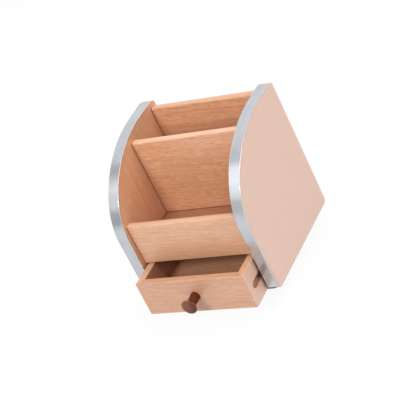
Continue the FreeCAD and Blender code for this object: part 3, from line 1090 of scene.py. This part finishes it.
@dataclass
class Screws:
    """Every cross-head screw of the object; pitch is a share of the screw's diameter."""

    pitch: float = 0.42
    sets: tuple[ScrewSet, ...] = (
        ScrewSet("base_screws", "base",
                 CrossScrew(2.2 * MM, 6.5 * MM, 4.2 * MM, 1.1 * MM, False), (0, 0, -1)),
        ScrewSet("race_screws", "cabinet",
                 CrossScrew(2.2 * MM, 4.6 * MM, 4.2 * MM, 1.1 * MM, False), (0, 0, 1)),
        ScrewSet("bottom_screws", "cabinet",
                 CrossScrew(3.0 * MM, 18.0 * MM, 5.6 * MM, 1.7 * MM, True), (0, 0, 1)),
        ScrewSet("runner_screws", "cabinet",
                 CrossScrew(2.5 * MM, 13.0 * MM, 4.8 * MM, 1.5 * MM, True), (1, 0, 0), True),
        ScrewSet("knob_screw", "drawer",
                 CrossScrew(3.0 * MM, 16.0 * MM, 6.4 * MM, 1.8 * MM, False), (0, -1, 0)),
    )

    def build(self) -> None:
        """Make each set of screws in place of its plain node."""
        tree = screw_tree()
        steel = ZINC.dress(5)
        for seed, group in enumerate(self.sets):
            kind = group.kind
            blank = new_piece(f"{group.node}_blank", kind.blank(f"{group.node}_blank"))
            core = kind.diameter / 2 * kind.core_share
            piece = grown(f"{group.node}_threaded", group.points(), tree, {
                "Blank": blank, "Core Radius": core, "Ridge": kind.diameter / 2 - core,
                "Turns": kind.thread_length() / (kind.diameter * self.pitch),
                "Thread Start": kind.thread_start(), "Thread Length": kind.thread_length(),
                "Seed": seed, "Material": steel})
            bpy.data.objects.remove(blank)
            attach(piece, group.body)
            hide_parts(group.node)
            LOG.info("screws %s: %d faces", piece.name, len(piece.data.polygons))


@dataclass
class Cabinet:
    """Side panels, cross boards and the bottom board."""

    cross_boards: tuple[tuple[str, Beech], ...] = (
        ("back_panel", BACK), ("middle_divider", BOARD), ("front_fascia", FASCIA),
        ("compartment_floor", SHADED_FLOOR))
    joint_shade_width: float = 1.0 * MM
    joint_shade_core: float = 0.75
    joint_shade_strength: float = 0.9
    lip_height: float = 1.2 * MM
    lip_core: float = 0.6
    edge_shade_reach: float = 8.5 * MM

    def build(self) -> None:
        """Dress every board of the body and what holds it together."""
        for seed, side in enumerate(SIDES, start=1):
            wear(PANEL.dress(Grain.UPRIGHT, seed, self._panel_tones(side)), f"side_panel_{side}")
            wear(DRAWER_INSIDE.dress(Grain.DEEP, seed + 20), f"drawer_runner_{side}")
        for seed, (node, finish) in enumerate(self.cross_boards, start=4):
            wear(finish.dress(Grain.ACROSS, seed, self._board_tones(node)), node)
        wear(BOARD.dress(Grain.ACROSS, 9, self._shaded_edges()), "bottom_board")
        wear(BOARD.dress(Grain.ACROSS, 10), "back_panel_dowels", "divider_dowels",
             "fascia_dowels", "floor_dowels")
        wear(ZINC.dress(1), "upper_race")
        LOG.info("dressed the cabinet")

    def _shaded_edges(self) -> tuple[Tone, ...]:
        """Painted shade on the edges of the bottom board, under the body."""
        low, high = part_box("bottom_board")
        return tuple(Tone(PAINTED_EDGE_SHADE, (ramp,)) for ramp in (
            Ramp.by("X", high.x, -MM, 0.6, True), Ramp.by("Y", low.y, self.edge_shade_reach, 0.9),
            Ramp.by("Y", high.y, -self.edge_shade_reach, 0.9)))

    def _panel_tones(self, side: str) -> tuple[Tone, ...]:
        """Tones of a side panel.

        Args:
            side: Which of the two.

        Returns:
            A paler pinkish outer face that paints the lacquer's sheen, painted shade on the face
            beside the drawer, painted shade on the foot under the strip, and a painted shade line
            along the front edge beside the drawer.
        """
        near, far = side_reach(f"side_panel_{side}")
        bay_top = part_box("front_fascia")[0].z
        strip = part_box(f"edge_strip_{side}")[0]
        # Painted sheen on the outer face.
        outer = Tone(OUTER_FACE_SHEEN, (side_skin(far, 1),))
        bay = Tone(BAY_SHADE, (side_skin(near, -1),
                               Ramp("Z", bay_top + 3 * MM, bay_top - BAY_FADE)), 0.75)
        # Painted shade on the panel's foot rounding under the strip.
        foot = Tone(PAINTED_SHADE, (Ramp("Z", strip.z + 0.2 * MM, strip.z - 0.2 * MM),
                                  Ramp("Y", strip.y + 5 * MM, strip.y + 4 * MM),
                                  Ramp("X", far, far - SKIN, True)), 0.85)
        # Painted shade: a dark line along the panel's front edge beside the drawer gap.
        front_edge_shade = Tone(PAINTED_SHADE, (Ramp("Y", strip.y + 2.1 * MM, strip.y + 1.7 * MM),
                                  Ramp("Z", bay_top, bay_top - 25 * MM)), 0.6)
        return outer, bay, foot, front_edge_shade

    def _board_tones(self, node: str) -> tuple[Tone, ...]:
        """Tones of a cross board.

        Args:
            node: Which of them.

        Returns:
            Painted shade in the fine grooves at its ends, then painted shade towards its own foot
            and painted light or shade on its upper edge.
        """
        low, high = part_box(node)
        # Painted shade in the fine grooves where the board meets the side panels.
        ends = Ramp.by("X", high.x, -self.joint_shade_width, self.joint_shade_core, True)
        lip = Ramp.by("Z", high.z, -self.lip_height, self.lip_core)
        # Painted shade along the divider's foot, on the back panel's lower face and towards the
        # fascia's foot; painted light on the divider's upper edge, painted shade on those of the
        # back panel and fascia.
        own = {
            "middle_divider": (
                Tone(PAINTED_SHADE, (Ramp.by("Z", low.z, self.joint_shade_width, self.joint_shade_core),),
                     self.joint_shade_strength),
                Tone(DIVIDER_LIP_LIGHT, (lip,), 0.7)),
            "back_panel": (
                Tone(BACK_FOOT_SHADE, (Ramp.by("Y", low.y, MM, 0.5),
                                 Ramp("Z", high.z - 12 * MM, high.z - 40 * MM)), 0.45),
                Tone(BACK_LIP_SHADE, (lip,), 0.8)),
            "front_fascia": (
                Tone(FASCIA_LIP_SHADE, (lip,), 0.8),
                Tone(FASCIA_FOOT_SHADE, (Ramp("Z", low.z + 30 * MM, low.z),), 0.4))}
        return Tone(PAINTED_SHADE, (ends,), self.joint_shade_strength), *own.get(node, ())


@dataclass
class Drawer:
    """Drawer walls and bottom, pins, and the knob; the knob's screw is made with the other screws.
    """

    stem_radius: float = 5.4 * MM
    stem_rounding: float = 0.2 * MM
    waist_radius: float = 4.9 * MM
    waist_steps: int = 8
    neck_height: float = 1.2 * MM
    head_radius: float = 8.7 * MM
    rim_thickness: float = 1.5 * MM
    dome_height: float = 1.3 * MM
    knob_steps: int = 96

    def build(self) -> None:
        """Dress the drawer's boards and make the knob."""
        wear(DRAWER.dress(Grain.ACROSS, 11), "drawer_front")
        wear(DRAWER_INSIDE.dress(Grain.ACROSS, 12), "drawer_back")
        for seed, side in enumerate(SIDES, start=13):
            wear(DRAWER.dress(Grain.DEEP, seed, self._side_tones(side)), f"drawer_side_{side}")
        wear(DRAWER_INSIDE.dress(Grain.ACROSS, 15), "drawer_bottom")
        wear(ZINC.dress(2), "drawer_pins")
        self._knob()
        LOG.info("dressed the drawer")

    def _side_tones(self, side: str) -> tuple[Tone, ...]:
        """Tones of a drawer side.

        Args:
            side: Which of the two.

        Returns:
            A paler pinkish outer face that paints the lacquer's sheen, the raw routed groove,
            painted shade on the inner face and painted light on the upper edge.
        """
        near, far = side_reach(f"drawer_side_{side}")
        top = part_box(f"drawer_side_{side}")[1].z
        groove_low, groove_high = (corner.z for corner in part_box(f"drawer_runner_{side}"))
        # Painted sheen on the outer face, painted shade on the inner face and painted light on the
        # upper edge.
        outer = Tone(DRAWER_SIDE_SHEEN, (side_skin(far, 1),))
        groove = Tone(ROUTED, (Ramp("X", far - SKIN * 0.2, far - SKIN, True),
                               Ramp("X", near + MM, near + 2 * MM, True),
                               Ramp.by("Z", groove_low, -MM, 0.6),
                               Ramp.by("Z", groove_high, MM, 0.6)))
        inner = Tone(DRAWER_SIDE_WALL_SHADE, (side_skin(near, -1),
                                        Ramp("Z", top - 0.5 * MM, top - MM)))
        lip = Tone(DRAWER_SIDE_LIP_LIGHT, (Ramp.by("Z", top, -0.8 * MM, 0.5),), 0.7)
        return outer, groove, inner, lip

    def _knob_profile(self, projection: float) -> list[Point]:
        """Outline of the knob.

        Args:
            projection: Its whole height.

        Returns:
            Radius and height of each point, from the middle of its foot to the top of its dome.
        """
        rim_radius = self.rim_thickness / 2
        rim_low = projection - self.dome_height - self.rim_thickness
        stem_top = rim_low - self.neck_height
        reach = self.head_radius - rim_radius
        dome_radius = (reach ** 2 + self.dome_height ** 2) / (2 * self.dome_height)
        half_angle = math.degrees(math.asin(reach / dome_radius))
        profile = [(0.0, 0.0), (self.stem_radius * 0.98, 0.0),
                   (self.stem_radius, self.stem_rounding)]
        for step in range(1, self.waist_steps + 1):
            share = step / self.waist_steps
            ease = 1 - (1 - share) ** 2
            profile.append((self.stem_radius + (self.waist_radius - self.stem_radius) * ease,
                            stem_top * share))
        profile += arc_points((reach, rim_low + rim_radius), rim_radius, -90, 60)
        profile += arc_points((0.0, projection - dome_radius), dome_radius,
                              90 - half_angle * 0.96, 90, 10)[:-1]
        return [*profile, (0.0, projection)]

    def _knob(self) -> None:
        """Turn the knob in place of its plain node."""
        low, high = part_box("knob")
        centre = (low + high) / 2
        shape = bmesh.new()
        add_turned(shape, self._knob_profile(high.y - low.y), self.knob_steps)
        bmesh.ops.recalc_face_normals(shape, faces=shape.faces)
        for face in shape.faces:
            face.smooth = True
        mesh = mesh_from("knob_turned", shape)
        mesh.transform(Matrix.Translation((centre.x, high.y, centre.z)) @ Matrix.Rotation(
            math.radians(90), 4, "X"))
        knob = new_piece("knob_turned", mesh)
        front = low.y + self.dome_height
        back = front + self.rim_thickness
        edge = 0.2 * MM
        # The face ramps paint the front face's sheen, full at the upper left and fading towards the
        # lower right, which paints the dome's shading too.
        mesh.materials.append(KNOB_WOOD.dress(
            (Ramp("Y", front + edge, front), Ramp("X", centre.x + 8 * MM, centre.x - MM),
             Ramp("Z", centre.z - 9 * MM, centre.z + MM)),
            (Ramp("Y", front - edge, front), Ramp("Y", back + edge, back - edge))))
        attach(knob, "drawer")
        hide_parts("knob")


def ball_tree() -> NodeTree:
    """Build a tree that sets smooth balls at even steps round a level ring.

    Returns:
        The tree.
    """
    tree = GeometryTree("ball_ring")
    count = tree.ask("Balls", "Int")
    ring_radius, radius, level = (
        tree.ask(name) for name in ("Ring Radius", "Ball Radius", "Level"))
    ring = tree.add("MeshCircle", {"fill_type": "NONE"}, Vertices=count, Radius=ring_radius)
    ball = tree.add("MeshUVSphere", Segments=32, Rings=16, Radius=radius)
    smooth = tree.add("SetShadeSmooth", Geometry=ball)
    return tree.finish(tree.add("InstanceOnPoints", Points=tree.raised(ring, level),
                                Instance=smooth))


@dataclass
class SwivelBase:
    """Round foot, anti-slip pad and the ball bearing."""

    balls: int = 12
    ring_radius: float = 37.5 * MM
    ball_radius: float = 1.5 * MM
    level: float = 11.0 * MM

    def build(self) -> None:
        """Dress the base and the bearing."""
        wear(BOARD.dress(Grain.ACROSS, 31), "base_disc")
        wear(RUBBER.dress(), "base_pad")
        wear(ZINC.dress(3), "lower_race", "centre_rivet")
        wear(NYLON.dress(), "ball_cage")
        self._balls()
        LOG.info("dressed the swivel base")

    def _balls(self) -> None:
        """Set the balls into their cage."""
        balls = grown("bearing_balls_ring", bpy.data.meshes.new("ball_places"), ball_tree(), {
            "Balls": self.balls, "Ring Radius": self.ring_radius, "Ball Radius": self.ball_radius,
            "Level": self.level, "Material": BALL_STEEL.dress(4)})
        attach(balls, "ball_ring")
        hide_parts("bearing_balls")


# ---- studio

@dataclass(frozen=True)
class Aimed:
    """A square thing of the studio that faces the lit point.

    Its place is a bearing from the front towards the right and a height above the floor, both in
    degrees, and a distance.
    """

    name: str
    bearing: float
    height: float
    side: float
    distance: float

    def offset(self) -> Vector:
        """Its place from the point that it faces."""
        turn, lift = math.radians(self.bearing), math.radians(self.height)
        return self.distance * Vector((math.cos(lift) * math.sin(turn),
                                       -math.cos(lift) * math.cos(turn), math.sin(lift)))

    def facing(self) -> Quaternion:
        """Its turn towards that point."""
        return (-self.offset()).to_track_quat("-Z", "Y")


@dataclass(frozen=True)
class SoftBox(Aimed):
    """A square area lamp; level is the brightness of a white card that faces it.

    One that isn't mirrored lights the object without showing in its gloss.
    """

    level: float
    mirrored: bool = True

    def build(self, aim: Vector) -> None:
        """Hang the lamp.

        Args:
            aim: The point that it faces.
        """
        data = bpy.data.lights.new(self.name, "AREA")
        data.shape = "SQUARE"
        data.size = self.side
        data.energy = self.level * math.pi ** 2 * self.distance ** 2
        light = new_piece(self.name, data)
        light.visible_glossy = self.mirrored
        light.location = aim + self.offset()
        light.rotation_euler = self.facing().to_euler()


@dataclass(frozen=True)
class GreyCard(Aimed):
    """A square grey card beside the lamps, which only shows where metal mirrors it."""

    grey: float = 0.35

    def build(self, aim: Vector) -> None:
        """Stand the card up.

        Args:
            aim: The point that it faces.
        """
        card = square(self.name, self.side,
                      Matrix.Translation(aim + self.offset()) @ self.facing().to_matrix().to_4x4())
        graph = Graph(self.name)
        graph.shade(Base_Color=(0.02, 0.02, 0.02), Roughness=1.0, Emission_Color=(1.0, 1.0, 1.0),
                    Emission_Strength=self.grey)
        card.data.materials.append(graph.material)
        card.visible_camera = card.visible_diffuse = card.visible_shadow = False


def seen_directly(graph: Wiring) -> Signal:
    """Tell what the camera sees from what only lights the object.

    Args:
        graph: Tree that the mask is for.

    Returns:
        1 for rays from the camera and rays mirrored or bent towards it, 0 for others.
    """
    path = graph.node("ShaderNodeLightPath")
    camera, mirrored, bent = (Signal(graph, path.outputs[f"Is {kind} Ray"])
                              for kind in ("Camera", "Glossy", "Transmission"))
    return camera.at_least(mirrored).at_least(bent)


@dataclass
class Studio:
    """Pale floor, soft lamps, grey cards and the camera."""

    camera_place: Triple = (0.8954, -1.1826, 0.9176)
    look_at: Triple = (-0.0113, -0.0057, 0.0912)
    roll_degrees: float = 26.79
    lens_mm: float = 145.8
    sensor_mm: float = 36.0
    ambient: float = 0.2
    floor_side: float = 8.0
    floor_glow: float = 0.94
    aim: Triple = (0.0, -0.02, 0.09)
    lamps: tuple[SoftBox, ...] = (
        # name, bearing, height, side, distance, level
        SoftBox("front_key", 2, 35, 0.8, 1.8, 0.33, mirrored=False),
        SoftBox("front_left_key", -12, 40, 0.4, 1.8, 0.4),
        SoftBox("right_fill", 50, 35, 0.8, 1.8, 0.12, mirrored=False),
        SoftBox("right_side", 92, 30, 0.8, 1.8, 0.25),
        SoftBox("left_side", -97, 16, 0.9, 1.8, 0.22),
        SoftBox("rear_top", 160, 56, 1.3, 1.8, 0.75, mirrored=False),
        SoftBox("right_spot", 66, 50, 0.2, 1.8, 0.17, mirrored=False),
        SoftBox("left_sheen", -43, 53, 0.33, 0.9, 0.027),
    )
    cards: tuple[GreyCard, ...] = (
        GreyCard("low_card", -37, 12, 0.4, 1.0), GreyCard("high_card", -80, 56, 0.26, 1.0))

    def build(self) -> None:
        """Set the stage."""
        self._camera()
        self._floor()
        self._world()
        for thing in (*self.lamps, *self.cards):
            thing.build(Vector(self.aim))
        bpy.context.scene.view_settings.view_transform = "Standard"
        LOG.info("set the stage")

    def _camera(self) -> None:
        """Stand the camera where the object is seen from, leaning by its roll."""
        place, target = Vector(self.camera_place), Vector(self.look_at)
        forward = (target - place).normalized()
        level = forward.cross(Vector((0, 0, 1))).normalized()
        roll = math.radians(self.roll_degrees)
        up = level.cross(forward) * math.cos(roll) + level * math.sin(roll)
        right = forward.cross(up)
        data = bpy.data.cameras.new("camera")
        data.lens = self.lens_mm
        data.sensor_width = self.sensor_mm
        camera = new_piece("camera", data)
        turn = Matrix((right, up, -forward)).transposed()
        camera.matrix_world = Matrix.Translation(place) @ turn.to_4x4()
        bpy.context.scene.camera = camera

    def _floor(self) -> None:
        """Lay a pale floor that shows white to the camera but keeps a soft shadow."""
        floor = square("floor", self.floor_side, Matrix())
        graph = Graph("pale_floor")
        graph.shade(Base_Color=(0.8, 0.8, 0.8), Roughness=0.9)
        glow = graph.node("ShaderNodeEmission", None, {"Color": (1.0, 1.0, 1.0), "Strength": 1.0})
        mixed = graph.node("ShaderNodeMixShader", None, {
            0: seen_directly(graph) * self.floor_glow, 1: graph.shader.outputs[0],
            2: glow.outputs[0]})
        graph.feed(graph.output.inputs["Surface"], mixed.outputs[0])
        floor.data.materials.append(graph.material)

    def _world(self) -> None:
        """Surround the object with soft pale light, white to the camera and in metal."""
        world = bpy.data.worlds.new("soft_room")
        world.use_nodes = True
        graph = Wiring(world.node_tree)
        light = graph.node("ShaderNodeBackground", None, {
            "Color": (1.0, 1.0, 1.0),
            "Strength": seen_directly(graph) * (1 - self.ambient) + self.ambient})
        graph.node("ShaderNodeOutputWorld", None, {"Surface": light.outputs[0]})
        bpy.context.scene.world = world


def main() -> None:
    """Build every sub-assembly in order."""
    logging.basicConfig(level=logging.INFO, format="%(message)s")
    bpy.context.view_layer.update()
    parts: tuple[Any, ...] = (Cabinet(), EdgeStrips(), Drawer(), SwivelBase(), Screws(), Studio())
    for part in parts:
        part.build()


if __name__ == "__main__":
    main()
